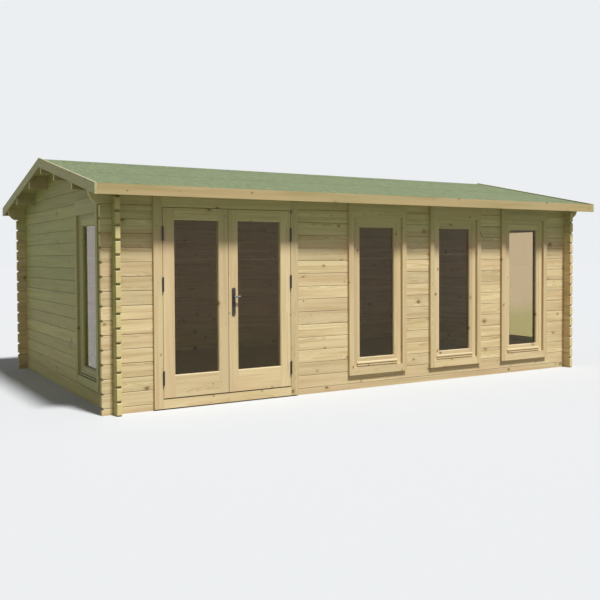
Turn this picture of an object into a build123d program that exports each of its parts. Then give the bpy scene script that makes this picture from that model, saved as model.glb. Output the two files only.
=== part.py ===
import os
from math import cos, radians, tan

from build123d import *

os.makedirs("parts", exist_ok=True)

# Walls, over their outer faces
wall_length = 5934
wall_depth = 3640

# Machined logs, crossed half and half at the corners
log_thickness = 45
log_pitch = 132
log_courses = 15
starter_height = 62
log_end = 107
log_gap = 0.8
joint_bevel = 5
end_bevel_length = 24
end_bevel_height = 16
eaves_log_height = 50
corbel_start = 130
corbel_rise = 92
corbel_belly_along = 0.62
corbel_belly_up = 0.38

# Roof
roof_slope = 11.8
eaves_overhang = 245
gable_overhang = 224
roof_board = 16
felt_thickness = 3
trim_thickness = 19
fascia_height = 94
fascia_proud = 8
bargeboard_height = 100
bargeboard_proud = 12
purlin_thickness = 45
purlin_height = 140
upper_purlin_y = 567
lower_purlin_y = 1250

# Floor
bearer_height = 70
bearer_thickness = 45
bearer_count = 10
floor_board = 19
floor_margin = 3

# Openings in the walls, in courses of logs from the starter's top
window_low_course = 1
window_high_course = 14
opening_margin = 50

# Double door
door_x = -1811
doorway_width = 1375
door_threshold_height = 96
door_lining = 42
door_head_height = 1891
door_architrave = 86
leaf_thickness = 45
leaf_recess = 2
leaf_gap = 5
leaf_foot_gap = 12
meeting_offset = 12
hinge_stile = 116
meeting_stile = 103
door_top_rail = 112
door_bottom_rail = 212
door_stop_width = 12

# Windows
front_window_x = (-20, 1092, 2203)
side_window_u = 1065
window_lining_width = 544
window_architrave = 58
window_lining_sill = 46
window_lining_head = 110
window_lining_reveal = 55
window_head_reveal = 50
window_sill_reveal = 5
window_head_board = 145
window_sill_board = 82
sash_thickness = 36
sash_recess = 2
sash_stile = 43.5
sash_top_rail = 62
sash_bottom_rail = 94
sash_glass_set_back = 9
sill_bar_lift = 5
sill_bar_height = 12
sill_bar_nose = 10
sill_bar_depth = 18
drip_bar_gap = 12
drip_bar_height = 22
drip_bar_nose = 10
drip_bar_depth = 12
window_stop_width = 12

# Boards round the openings
architrave_thickness = 28
inner_architrave = 60
inner_architrave_thickness = 18
head_board_rise = 104
frame_foot = 12

# Glass
glass_thickness = 4
glass_bite = 10
glass_bead = 8

# Fits
seat_gap = 0.3
joint_gap = 0.5

# Door ironmongery
knuckle_radius = 8
hinge_pin_radius = 4
hinge_pin_length = 48
hinge_bore_depth = 51
hinge_half_height = 68
hinge_plate = 1.6
hinge_plate_width = 40
hinge_heights = (297, 1172, 1645)
plate_width = 38
plate_waist = 35
plate_height = 270
plate_thickness = 8
plate_z = 990
keyhole_z = 945
keyhole_radius = 4.5
keyhole_slot = 4
keyhole_depth = 15
lever_z = 1035
lever_length = 72
lever_lift = 5
lever_width = 17
lever_thickness = 12
lever_edge = 2.5
lever_standoff = 36
lever_neck_radius = 8
spindle_radius = 4.5
spindle_bore = 9

# Places worked out from the sizes above
slope = tan(radians(roof_slope))
half_length = wall_length / 2
half_depth = wall_depth / 2
front_y = -half_depth + log_thickness / 2
rear_y = half_depth - log_thickness / 2
side_x = half_length - log_thickness / 2
log_end_x = half_length + log_end
log_end_y = half_depth + log_end
front_joints = [starter_height + k * log_pitch for k in range(log_courses + 1)]
side_joints = [z + log_pitch / 2 for z in front_joints]
roof_under = front_joints[-1] + eaves_log_height + half_depth * slope
roof_boards_rise = roof_board / cos(radians(roof_slope))
felt_rise = felt_thickness / cos(radians(roof_slope))
roof_top = roof_under + roof_boards_rise + felt_rise
bargeboard_x = half_length + gable_overhang - trim_thickness
fascia_y = half_depth + eaves_overhang - trim_thickness
roof_end_x = bargeboard_x - joint_gap
window_low = front_joints[window_low_course]
window_high = front_joints[window_high_course]
door_opening = doorway_width / 2 + door_lining
window_frame_half = window_lining_width / 2 + window_lining_reveal
window_opening = window_frame_half + window_architrave - opening_margin
floor_top = bearer_height + seat_gap + floor_board

# Wall planes: X along the wall, Y up, Z out of the building
front_plane = Plane(origin=(0, -half_depth, 0), x_dir=(1, 0, 0), z_dir=(0, -1, 0))
rear_plane = Plane(origin=(0, half_depth, 0), x_dir=(-1, 0, 0), z_dir=(0, 1, 0))
left_plane = Plane(origin=(-half_length, 0, 0), x_dir=(0, -1, 0), z_dir=(-1, 0, 0))


def save(piece, name):
    """Label a finished piece and write it."""
    piece.part.label = name
    export_step(piece.part, f"parts/{name}.step")


def courses(joints):
    """Low level of each log that lies between the joints."""
    return list(joints[:-1])


def make_log(plane, start, end, crossings=(), free_ends=()):
    """One log on a wall plane's base line, notched top and bottom for the crossing logs."""
    height = log_pitch - log_gap
    with BuildPart() as log:
        with BuildSketch(plane) as elevation:
            with Locations(((start + end) / 2, height / 2)):
                Rectangle(end - start, height)
            for crossing in crossings:
                with Locations((crossing, 0), (crossing, log_pitch)):
                    Rectangle(log_thickness + 2 * log_gap, log_pitch / 2 + log_gap,
                              mode=Mode.SUBTRACT)
            for free_end in free_ends:
                inward = -end_bevel_length if free_end > 0 else end_bevel_length
                for level in (0, height):
                    with Locations((free_end, level)):
                        Polygon((0, end_bevel_height), (inward, 0), (0, -end_bevel_height),
                                align=None, mode=Mode.SUBTRACT)
        extrude(elevation.sketch, amount=-log_thickness)
        profile = Plane(origin=plane.from_local_coords((start, 0, 0)), x_dir=plane.z_dir,
                        z_dir=-plane.x_dir)
        with BuildSketch(profile) as edge_bevels:
            for level in (0, height):
                with Locations((0, level)):
                    Polygon((0, joint_bevel), (-joint_bevel, 0), (0, -joint_bevel), align=None)
        extrude(edge_bevels.sketch, amount=start - end, mode=Mode.SUBTRACT)
    return log


def stack(log, lows):
    """The same log in each course of a wall."""
    with Locations(*[(0, 0, low) for low in lows]):
        add(log.part)


def cut_at_ground():
    """Take off what lies under the ground line."""
    with Locations((0, 0, 0)):
        Box(4 * half_length, 4 * half_depth, 2 * log_pitch,
            align=(Align.CENTER, Align.CENTER, Align.MAX), mode=Mode.SUBTRACT)


def roof_profile(under, over):
    """Outline between two roof surfaces, given by their heights at the ridge."""
    reach = fascia_y + 2 * trim_thickness
    Polygon(
        (-reach, under - reach * slope),
        (0, under),
        (reach, under - reach * slope),
        (reach, over - reach * slope),
        (0, over),
        (-reach, over - reach * slope),
        align=None,
    )


def cut_to_roof():
    """Take off what stands above the underside of the roof boards."""
    with BuildSketch(Plane.YZ) as above:
        roof_profile(roof_under - seat_gap, roof_under + 2 * log_end_y * slope)
    extrude(above.sketch, amount=2 * half_length, both=True, mode=Mode.SUBTRACT)


# Front wall, broken by the door and by three windows
starter_low = front_joints[0] - log_pitch
under_windows = [starter_low] + courses(front_joints[:window_low_course + 1])
beside_windows = courses(front_joints[window_low_course:window_high_course + 1])
window_edges = [(x - window_opening, x + window_opening) for x in front_window_x]

with BuildPart() as front_logs_left_of_door:
    stack(make_log(front_plane, -log_end_x, door_x - door_opening, (-side_x,), (-log_end_x,)),
          under_windows + beside_windows)
    cut_at_ground()
save(front_logs_left_of_door, "front_logs_left_of_door")

with BuildPart() as front_logs_right_of_door:
    stack(make_log(front_plane, door_x + door_opening, window_edges[0][0]), beside_windows)
save(front_logs_right_of_door, "front_logs_right_of_door")

with BuildPart() as front_logs_between_windows:
    for before, after in zip(window_edges, window_edges[1:]):
        stack(make_log(front_plane, before[1], after[0]), beside_windows)
save(front_logs_between_windows, "front_logs_between_windows")

with BuildPart() as front_logs_right_end:
    stack(make_log(front_plane, window_edges[-1][1], log_end_x, (side_x,), (log_end_x,)),
          beside_windows)
save(front_logs_right_end, "front_logs_right_end")

with BuildPart() as front_logs_under_windows:
    stack(make_log(front_plane, door_x + door_opening, log_end_x, (side_x,), (log_end_x,)),
          under_windows)
    cut_at_ground()
save(front_logs_under_windows, "front_logs_under_windows")

# Rear wall, with no opening
with BuildPart() as rear_logs:
    stack(make_log(rear_plane, -log_end_x, log_end_x, (-side_x, side_x),
                   (-log_end_x, log_end_x)),
          under_windows + beside_windows)
    cut_at_ground()
save(rear_logs, "rear_logs")


def eaves_logs(plane, middle_y, door_cut):
    """Corbel log and the log on it, both running out to the bargeboards."""
    corbel_low = front_joints[-2]
    with BuildPart() as logs:
        stack(make_log(plane, -roof_end_x, roof_end_x, (-side_x, side_x)), front_joints[-2:])
        middle = Plane.XZ.offset(-middle_y)
        with BuildSketch(middle) as corbel_cuts:
            for side in (-1, 1):
                start = side * (half_length + corbel_start)
                end = side * (roof_end_x + 1)
                belly = (start + corbel_belly_along * (end - start),
                         corbel_low + corbel_belly_up * corbel_rise)
                with BuildLine():
                    Line((start, corbel_low), (end, corbel_low))
                    Line((end, corbel_low), (end, corbel_low + corbel_rise))
                    ThreePointArc((end, corbel_low + corbel_rise), belly, (start, corbel_low))
                make_face()
        extrude(corbel_cuts.sketch, amount=log_thickness, both=True, mode=Mode.SUBTRACT)
        cut_to_roof()
        if door_cut:
            with Locations((door_x, middle_y, corbel_low)):
                Box(2 * door_opening, 2 * log_thickness, 2 * (door_top - corbel_low),
                    mode=Mode.SUBTRACT)
    return logs


door_top = door_head_height + door_lining + seat_gap
front_eaves_logs = eaves_logs(front_plane, front_y, True)
save(front_eaves_logs, "front_eaves_logs")
rear_eaves_logs = eaves_logs(rear_plane, rear_y, False)
save(rear_eaves_logs, "rear_eaves_logs")

# Purlins, let into the gable logs and running out to the bargeboards
purlin_ys = (-lower_purlin_y, -upper_purlin_y, 0, upper_purlin_y, lower_purlin_y)


def purlin_foot(y):
    """Level of a purlin's underside."""
    return roof_under - abs(y) * slope - purlin_height


def mirrored(piece):
    """The same piece on the right wall."""
    with BuildPart() as other:
        mirror(piece.part, about=Plane.YZ)
    return other


# Gable walls, each with one window near the front; on their plane X runs to the front
gable_joints = list(side_joints)
while gable_joints[-1] < roof_under:
    gable_joints.append(gable_joints[-1] + log_pitch)
window_lows = courses(side_joints[window_low_course:window_high_course])
through_lows = [side_joints[0] - log_pitch] + [
    low for low in courses(gable_joints) if low not in window_lows]
wall_middle = half_depth - log_thickness / 2

with BuildPart() as left_logs_before_window:
    stack(make_log(left_plane, side_window_u + window_opening, log_end_y, (wall_middle,),
                   (log_end_y,)),
          window_lows)
with BuildPart() as left_logs_behind_window:
    stack(make_log(left_plane, -log_end_y, side_window_u - window_opening, (-wall_middle,),
                   (-log_end_y,)),
          window_lows)
with BuildPart() as left_through_logs:
    stack(make_log(left_plane, -log_end_y, log_end_y, (-wall_middle, wall_middle),
                   (-log_end_y, log_end_y)),
          through_lows)
    cut_at_ground()
    cut_to_roof()
    for purlin_y in purlin_ys:
        with Locations((-side_x, purlin_y, purlin_foot(purlin_y) - seat_gap)):
            Box(2 * log_thickness, purlin_thickness + 2 * seat_gap, 2 * purlin_height,
                align=(Align.CENTER, Align.CENTER, Align.MIN), mode=Mode.SUBTRACT)
    with Locations((-side_x, -side_window_u, (window_low + window_high) / 2)):
        Box(2 * log_thickness, 2 * window_opening, window_high - window_low, mode=Mode.SUBTRACT)

save(left_logs_before_window, "left_logs_before_window")
save(left_logs_behind_window, "left_logs_behind_window")
save(left_through_logs, "left_through_logs")
right_logs_before_window = mirrored(left_logs_before_window)
right_logs_behind_window = mirrored(left_logs_behind_window)
right_through_logs = mirrored(left_through_logs)
save(right_logs_before_window, "right_logs_before_window")
save(right_logs_behind_window, "right_logs_behind_window")
save(right_through_logs, "right_through_logs")


def purlin(y):
    """One purlin, its top planed to the roof."""
    with Locations((0, y, purlin_foot(y))):
        Box(2 * roof_end_x, purlin_thickness, purlin_height + log_pitch,
            align=(Align.CENTER, Align.CENTER, Align.MIN))


with BuildPart() as ridge_purlin:
    purlin(0)
    cut_to_roof()
save(ridge_purlin, "ridge_purlin")

with BuildPart() as purlins:
    for place in purlin_ys:
        if place != 0:
            purlin(place)
    cut_to_roof()
save(purlins, "purlins")


def roof_sheet(under, over):
    """The two slopes of one layer of the roof, split at the ridge."""
    with BuildSketch(Plane.YZ.offset(-roof_end_x)) as section:
        roof_profile(under, over)
        edge = fascia_y - joint_gap
        Rectangle(2 * edge, 4 * roof_top, mode=Mode.INTERSECT)
        Rectangle(joint_gap, 4 * roof_top, mode=Mode.SUBTRACT)
    extrude(section.sketch, amount=2 * roof_end_x)


with BuildPart() as roof_boards:
    roof_sheet(roof_under, roof_under + roof_boards_rise - seat_gap)
save(roof_boards, "roof_boards")

with BuildPart() as roof_felt:
    roof_sheet(roof_under + roof_boards_rise, roof_top)
save(roof_felt, "roof_felt")

# Fascias along the eaves and bargeboards up the gables
eaves_line = roof_top - (fascia_y + trim_thickness) * slope
with BuildPart() as front_fascia:
    with Locations((0, -fascia_y - trim_thickness / 2, eaves_line + fascia_proud)):
        Box(2 * roof_end_x, trim_thickness, fascia_height,
            align=(Align.CENTER, Align.CENTER, Align.MAX))
save(front_fascia, "front_fascia")

with BuildPart() as rear_fascia:
    mirror(front_fascia.part, about=Plane.XZ)
save(rear_fascia, "rear_fascia")

with BuildPart() as left_bargeboards:
    with BuildSketch(Plane.YZ.offset(-bargeboard_x - trim_thickness)) as boards:
        roof_profile(roof_top + bargeboard_proud - bargeboard_height, roof_top + bargeboard_proud)
        Rectangle(2 * (fascia_y + trim_thickness), 4 * roof_top, mode=Mode.INTERSECT)
        Rectangle(joint_gap, 4 * roof_top, mode=Mode.SUBTRACT)
    extrude(boards.sketch, amount=trim_thickness)
save(left_bargeboards, "left_bargeboards")
right_bargeboards = mirrored(left_bargeboards)
save(right_bargeboards, "right_bargeboards")


def slab(plane, back, front, left, right, low, high, mode=Mode.ADD):
    """A board set square on a wall plane."""
    with BuildSketch(plane.offset(back)) as outline:
        with Locations(((left + right) / 2, (low + high) / 2)):
            Rectangle(right - left, high - low)
    extrude(outline.sketch, amount=front - back, mode=mode)


def cut_round_doorway():
    """Room for the door lining and the threshold at the edge of the floor."""
    slab(front_plane, inside_face - seat_gap, 0, door_x - door_opening, door_x + door_opening,
         -1, floor_top + 1, mode=Mode.SUBTRACT)


# Floor inside the walls
room_x = half_length - log_thickness - floor_margin
room_y = half_depth - log_thickness - floor_margin
inside_face = -log_thickness - inner_architrave_thickness
with BuildPart() as floor_boards:
    with Locations((0, 0, bearer_height + seat_gap)):
        Box(2 * room_x, 2 * room_y, floor_board, align=(Align.CENTER, Align.CENTER, Align.MIN))
    cut_round_doorway()
save(floor_boards, "floor_boards")

with BuildPart() as floor_bearers:
    bearer_spacing = (2 * room_x - bearer_thickness) / (bearer_count - 1)
    with GridLocations(bearer_spacing, 1, bearer_count, 1):
        Box(bearer_thickness, 2 * room_y, bearer_height,
            align=(Align.CENTER, Align.CENTER, Align.MIN))
    cut_round_doorway()
save(floor_bearers, "floor_bearers")


def part_members(plane, middle, half, low, high):
    """Fine joints where a head, sill or rail meets the uprights on both sides of it."""
    for side in (-1, 1):
        edge = middle + side * half
        slab(plane, inside_face - 1, architrave_thickness, edge - seat_gap / 2,
             edge + seat_gap / 2, low, high, mode=Mode.SUBTRACT)


def part_stops(plane, middle, half, stop_width, front, level):
    """Fine joints where the upright stops meet the stop of the head or sill."""
    for side in (-1, 1):
        edges = sorted((middle + side * (half - stop_width), middle + side * half))
        slab(plane, inside_face - 1, front, edges[0] - seat_gap / 2, edges[1] + seat_gap / 2,
             level - seat_gap / 2, level + seat_gap / 2, mode=Mode.SUBTRACT)


# Door lining with its stop, threshold and boards
half_door = doorway_width / 2
leaf_front = architrave_thickness - leaf_recess
leaf_back = leaf_front - leaf_thickness
leaf_low = door_threshold_height + leaf_foot_gap
leaf_high = door_head_height - leaf_gap
stop_front = leaf_back - leaf_gap

with BuildPart() as door_lining_frame:
    outer = door_opening - joint_gap
    slab(front_plane, inside_face, 0, door_x - outer, door_x + outer, 0,
         door_head_height + door_lining)
    slab(front_plane, inside_face, stop_front, door_x - half_door + door_stop_width,
         door_x + half_door - door_stop_width, -1, door_head_height - door_stop_width,
         mode=Mode.SUBTRACT)
    slab(front_plane, stop_front, 0, door_x - half_door, door_x + half_door, -1,
         door_head_height, mode=Mode.SUBTRACT)
    stop_level = door_head_height - door_stop_width
    part_members(front_plane, door_x, half_door, stop_level - seat_gap / 2,
                 door_head_height + door_lining + 1)
    part_stops(front_plane, door_x, half_door, door_stop_width, stop_front, stop_level)
save(door_lining_frame, "door_lining")

with BuildPart() as door_threshold:
    sill_half = half_door - joint_gap
    stop_half = half_door - door_stop_width - joint_gap
    slab(front_plane, stop_front + joint_gap, 0, door_x - sill_half, door_x + sill_half,
         0, door_threshold_height)
    slab(front_plane, 0, architrave_thickness, door_x - sill_half, door_x + sill_half,
         frame_foot, door_threshold_height)
    slab(front_plane, inside_face, stop_front + joint_gap, door_x - stop_half,
         door_x + stop_half, 0, door_threshold_height)
    slab(front_plane, inside_face, stop_front, door_x - stop_half, door_x + stop_half,
         door_threshold_height, leaf_low + door_stop_width)
save(door_threshold, "door_threshold")


def boards_round(plane, middle, inner, width, levels, back, front):
    """Side boards with a head board between them, and a bottom board if the frame has one."""
    foot, sill_top, head_foot, top = levels
    for side in (-1, 1):
        edges = sorted((middle + side * inner, middle + side * (inner + width)))
        slab(plane, back, front, edges[0], edges[1], foot, top)
    half = inner - joint_gap
    slab(plane, back, front, middle - half, middle + half, head_foot, top)
    if sill_top is not None:
        slab(plane, back, front, middle - half, middle + half, foot, sill_top)


inner_back = -log_thickness - seat_gap
with BuildPart() as door_architraves:
    boards_round(front_plane, door_x, half_door, door_architrave,
                 (frame_foot, None, door_head_height, door_head_height + head_board_rise),
                 seat_gap, architrave_thickness)
    lining_top = door_head_height + door_lining
    boards_round(front_plane, door_x, door_opening, inner_architrave,
                 (floor_top + seat_gap, None, lining_top + joint_gap,
                  lining_top + inner_architrave),
                 inside_face, inner_back)
save(door_architraves, "door_architraves")

# Windows: a lining through the wall, boards on both faces, a sash and its glass
half_lining = window_lining_width / 2
lining_low = window_low + window_lining_sill
lining_high = window_high - window_lining_head
sash_front = -sash_recess
sash_back = sash_front - sash_thickness
sash_low = lining_low + joint_gap
sash_high = lining_high - joint_gap
sash_half = half_lining - joint_gap
pane_back = (sash_front + sash_back - glass_thickness) / 2 - sash_glass_set_back


def window_lining_ring(plane, middle):
    """Lining of one window, with a stop behind the sash."""
    outer = window_opening - joint_gap
    slab(plane, inside_face, 0, middle - outer, middle + outer,
         window_low + seat_gap, window_high - joint_gap)
    slab(plane, sash_back - seat_gap, 0, middle - half_lining, middle + half_lining,
         lining_low, lining_high, mode=Mode.SUBTRACT)
    stop = half_lining - window_stop_width
    slab(plane, inside_face, sash_back, middle - stop, middle + stop,
         lining_low + window_stop_width, lining_high - window_stop_width, mode=Mode.SUBTRACT)
    low_stop = lining_low + window_stop_width
    high_stop = lining_high - window_stop_width
    part_members(plane, middle, half_lining, window_low, low_stop + seat_gap / 2)
    part_members(plane, middle, half_lining, high_stop - seat_gap / 2, window_high)
    for level in (low_stop, high_stop):
        part_stops(plane, middle, half_lining, window_stop_width, sash_back, level)


def window_boards(plane, middle):
    """Boards round one window, outside and inside."""
    sill_top = lining_low - window_sill_reveal
    head_foot = lining_high + window_head_reveal
    boards_round(plane, middle, window_frame_half, window_architrave,
                 (sill_top - window_sill_board, sill_top, head_foot,
                  head_foot + window_head_board),
                 seat_gap, architrave_thickness)
    boards_round(plane, middle, window_opening, inner_architrave,
                 (window_low - inner_architrave, window_low - joint_gap,
                  window_high + joint_gap, window_high + inner_architrave),
                 inside_face, inner_back)


def glazed_frame(plane, edges, levels, faces, stiles, rails, glass_back):
    """Stiles and rails round a pane, grooved for it and bevelled outside."""
    left, right = edges
    low, high = levels
    back, front = faces
    clear_left = left + stiles[0]
    clear_right = right - stiles[1]
    clear_low = low + rails[0]
    clear_high = high - rails[1]
    clear_middle = (clear_left + clear_right) / 2
    light_middle = (clear_middle, (clear_low + clear_high) / 2)
    clear_width = clear_right - clear_left
    clear_height = clear_high - clear_low
    slab(plane, back, front, left, right, low, high)
    slab(plane, back, front, clear_left, clear_right, clear_low, clear_high, mode=Mode.SUBTRACT)
    with BuildSketch(plane.offset(front)) as bead_front:
        with Locations(light_middle):
            Rectangle(clear_width + 2 * glass_bead, clear_height + 2 * glass_bead)
    with BuildSketch(plane.offset(front - glass_bead)) as bead_back:
        with Locations(light_middle):
            Rectangle(clear_width, clear_height)
    loft([bead_back.sketch.face(), bead_front.sketch.face()], mode=Mode.SUBTRACT)
    groove = glass_bite + seat_gap
    slab(plane, glass_back - seat_gap, glass_back + glass_thickness + seat_gap,
         clear_left - groove, clear_right + groove, clear_low - groove, clear_high + groove,
         mode=Mode.SUBTRACT)
    part_members(plane, clear_middle, clear_width / 2, low - 1, clear_low + 1)
    part_members(plane, clear_middle, clear_width / 2, clear_high - 1, high + 1)


def pane(plane, edges, levels, stiles, rails, glass_back):
    """Glass that fills the groove of a glazed frame."""
    slab(plane, glass_back, glass_back + glass_thickness, edges[0] + stiles[0] - glass_bite,
         edges[1] - stiles[1] + glass_bite, levels[0] + rails[0] - glass_bite,
         levels[1] - rails[1] + glass_bite)


sash_levels = (sash_low, sash_high)
sash_stiles = (sash_stile, sash_stile)
sash_rails = (sash_bottom_rail, sash_top_rail)


def sash_bar(plane, middle, low, depth, nose, height):
    """A bar along the foot of a sash, its top sloping down to the nose."""
    foot = (middle + sash_half, low, sash_front + seat_gap)
    section = Plane(origin=plane.from_local_coords(foot), x_dir=plane.z_dir,
                    z_dir=-plane.x_dir)
    with BuildSketch(section) as outline:
        Polygon((0, 0), (depth, 0), (depth, nose), (0, height), align=None)
    extrude(outline.sketch, amount=2 * sash_half)


def window_sash(plane, middle):
    """Sash of one window with the sill bar and the drip bar on its bottom rail."""
    glazed_frame(plane, (middle - sash_half, middle + sash_half), sash_levels,
                 (sash_back, sash_front), sash_stiles, sash_rails, pane_back)
    sill_bar_low = sash_low + sill_bar_lift
    sash_bar(plane, middle, sill_bar_low, sill_bar_depth, sill_bar_nose, sill_bar_height)
    sash_bar(plane, middle, sill_bar_low + sill_bar_height + drip_bar_gap, drip_bar_depth,
             drip_bar_nose, drip_bar_height)


def window_pane(plane, middle):
    """Pane of one window."""
    pane(plane, (middle - sash_half, middle + sash_half), sash_levels, sash_stiles,
         sash_rails, pane_back)


window_pieces = {
    "window_linings": window_lining_ring,
    "window_architraves": window_boards,
    "window_sashes": window_sash,
    "window_glass": window_pane,
}
for window_name, make_piece in window_pieces.items():
    with BuildPart() as front_set:
        for place in front_window_x:
            make_piece(front_plane, place)
    save(front_set, "front_" + window_name)
    with BuildPart() as left_piece:
        make_piece(left_plane, side_window_u)
    save(left_piece, "left_" + window_name)
    right_piece = mirrored(left_piece)
    save(right_piece, "right_" + window_name)

# Door leaves, glass and ironmongery; side is -1 for the left leaf and 1 for the right
meeting_x = door_x - meeting_offset
leaf_edges = {
    -1: (door_x - half_door + leaf_gap, meeting_x - leaf_gap / 2),
    1: (meeting_x + leaf_gap / 2, door_x + half_door - leaf_gap),
}
leaf_stiles = {
    -1: (hinge_stile, meeting_stile),
    1: (meeting_stile, hinge_stile),
}
leaf_levels = (leaf_low, leaf_high)
door_rails = (door_bottom_rail, door_top_rail)
door_pane_back = leaf_front - leaf_thickness / 2
hinge_x = half_door - leaf_gap / 2
hinge_out = architrave_thickness + seat_gap + knuckle_radius
handle_middle = meeting_x + (leaf_gap + meeting_stile) / 2


def leaf_frame(side):
    """Stiles and rails of one leaf."""
    glazed_frame(front_plane, leaf_edges[side], leaf_levels, (leaf_back, leaf_front),
                 leaf_stiles[side], door_rails, door_pane_back)


def leaf_pane(side):
    """Glass of one leaf."""
    pane(front_plane, leaf_edges[side], leaf_levels, leaf_stiles[side], door_rails,
         door_pane_back)


def turned(plane, back, front, place, radius, mode=Mode.ADD):
    """A round bar square to a wall plane."""
    with BuildSketch(plane.offset(back)) as circle:
        with Locations(place):
            Circle(radius)
    extrude(circle.sketch, amount=front - back, mode=mode)


def upright(low, high, place, radius, mode=Mode.ADD):
    """An upright round bar, its place given on the front wall plane."""
    with BuildSketch(Plane.XY.offset(low)) as circle:
        with Locations((place, -half_depth - hinge_out)):
            Circle(radius)
    extrude(circle.sketch, amount=high - low, mode=mode)


def frame_hinge(side, middle):
    """Lower half of one lift-off hinge: knuckle, pin and the plate on the lining."""
    axis = door_x + side * hinge_x
    low = middle - hinge_half_height
    upright(low, middle - seat_gap / 2, axis, knuckle_radius)
    upright(middle - seat_gap, middle + hinge_pin_length, axis, hinge_pin_radius)
    edge = door_x + side * (half_door - seat_gap)
    faces = sorted((edge, edge - side * hinge_plate))
    slab(front_plane, leaf_front - hinge_plate_width, hinge_out, faces[0], faces[1],
         low, middle - seat_gap / 2)


def leaf_hinge(side, middle):
    """Upper half of one hinge: knuckle bored for the pin and the plate on the leaf."""
    axis = door_x + side * hinge_x
    high = middle + hinge_half_height
    upright(middle + seat_gap / 2, high, axis, knuckle_radius)
    edge = door_x + side * (half_door - leaf_gap + seat_gap)
    faces = sorted((edge, edge + side * hinge_plate))
    slab(front_plane, leaf_front - hinge_plate_width, hinge_out, faces[0], faces[1],
         middle + seat_gap / 2, high)
    upright(middle, middle + hinge_bore_depth, axis, hinge_pin_radius + seat_gap,
            mode=Mode.SUBTRACT)


with BuildPart() as left_door_leaf:
    leaf_frame(-1)
save(left_door_leaf, "left_door_leaf")

with BuildPart() as right_door_leaf:
    leaf_frame(1)
    turned(front_plane, leaf_back, leaf_front, (handle_middle, lever_z), spindle_bore,
           mode=Mode.SUBTRACT)
save(right_door_leaf, "right_door_leaf")

with BuildPart() as left_door_glass:
    leaf_pane(-1)
save(left_door_glass, "left_door_glass")

with BuildPart() as right_door_glass:
    leaf_pane(1)
save(right_door_glass, "right_door_glass")

with BuildPart() as left_door_hinges:
    for place in hinge_heights:
        leaf_hinge(-1, place)
save(left_door_hinges, "left_door_hinges")

with BuildPart() as right_door_hinges:
    for place in hinge_heights:
        leaf_hinge(1, place)
save(right_door_hinges, "right_door_hinges")

with BuildPart() as frame_hinges:
    for door_side in (-1, 1):
        for place in hinge_heights:
            frame_hinge(door_side, place)
save(frame_hinges, "frame_hinges")

outer_plate_back = leaf_front + seat_gap
inner_plate_back = leaf_back - seat_gap - plate_thickness
plate_lobe = (plate_height - plate_width) / 2
with BuildPart() as handle_plates:
    for plate_back in (outer_plate_back, inner_plate_back):
        with BuildSketch(front_plane.offset(plate_back)) as plate:
            with Locations((handle_middle, plate_z)):
                Rectangle(plate_waist, 2 * plate_lobe)
            with Locations((handle_middle, plate_z - plate_lobe),
                           (handle_middle, plate_z + plate_lobe)):
                Circle(plate_width / 2)
            with Locations((handle_middle, lever_z)):
                Circle(lever_neck_radius + seat_gap, mode=Mode.SUBTRACT)
            with Locations((handle_middle, keyhole_z)):
                Circle(keyhole_radius, mode=Mode.SUBTRACT)
            with Locations((handle_middle, keyhole_z - keyhole_depth / 2)):
                Rectangle(keyhole_slot, keyhole_depth, mode=Mode.SUBTRACT)
        extrude(plate.sketch, amount=plate_thickness)
save(handle_plates, "handle_plates")

with BuildPart() as door_lever:
    outer_grip = outer_plate_back + plate_thickness + lever_standoff - lever_thickness
    inner_grip = inner_plate_back - lever_standoff
    spot = (handle_middle, lever_z)
    reach = lever_length - lever_width
    for grip in (outer_grip, inner_grip):
        with BuildSketch(front_plane.offset(grip)) as grip_outline:
            with BuildLine() as grip_line:
                ThreePointArc(spot, (handle_middle + reach / 2, lever_z + lever_lift / 4),
                              (handle_middle + reach, lever_z + lever_lift))
            SlotArc(grip_line.edge(), lever_width)
        extrude(grip_outline.sketch, amount=lever_thickness)
    chamfer(door_lever.edges().filter_by(GeomType.CIRCLE), lever_edge)
    turned(front_plane, outer_plate_back, outer_grip + lever_thickness / 2, spot,
           lever_neck_radius)
    turned(front_plane, inner_grip + lever_thickness / 2, leaf_back - seat_gap, spot,
           lever_neck_radius)
    turned(front_plane, inner_plate_back, outer_grip, spot, spindle_radius)
save(door_lever, "door_lever")
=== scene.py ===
from math import ceil, copysign, cos, pi, radians, sin
from random import Random

import bmesh
import bpy
from mathutils import Matrix, Vector, noise


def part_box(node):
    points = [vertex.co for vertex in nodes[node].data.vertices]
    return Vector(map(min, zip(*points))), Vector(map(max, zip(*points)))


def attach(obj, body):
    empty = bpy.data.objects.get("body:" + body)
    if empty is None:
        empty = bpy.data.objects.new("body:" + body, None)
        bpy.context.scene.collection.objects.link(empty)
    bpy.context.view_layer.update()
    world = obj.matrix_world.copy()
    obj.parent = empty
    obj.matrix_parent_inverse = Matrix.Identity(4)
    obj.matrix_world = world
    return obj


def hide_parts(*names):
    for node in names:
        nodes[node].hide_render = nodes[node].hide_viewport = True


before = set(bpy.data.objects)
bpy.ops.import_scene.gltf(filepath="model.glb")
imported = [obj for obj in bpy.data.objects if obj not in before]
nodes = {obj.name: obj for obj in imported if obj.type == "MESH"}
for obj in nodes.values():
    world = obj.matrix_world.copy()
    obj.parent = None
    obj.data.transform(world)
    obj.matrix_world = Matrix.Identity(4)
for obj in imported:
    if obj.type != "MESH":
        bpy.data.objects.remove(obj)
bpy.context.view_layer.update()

# The camera stands at eye height off the front left corner and looks along the front wall to
# its far end, almost level.
eye = (-5.178, -8.841, 1.424)
turn_right = radians(30.76)
look_down = radians(1.514)
lean = radians(-0.258)
lens = 47.75
film_width = 36
framing_shift = -0.0371
farthest_seen = 300


def linked(name, data):
    """An object made from its data and put in the scene."""
    made = bpy.data.objects.new(name, data)
    bpy.context.scene.collection.objects.link(made)
    return made


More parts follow.
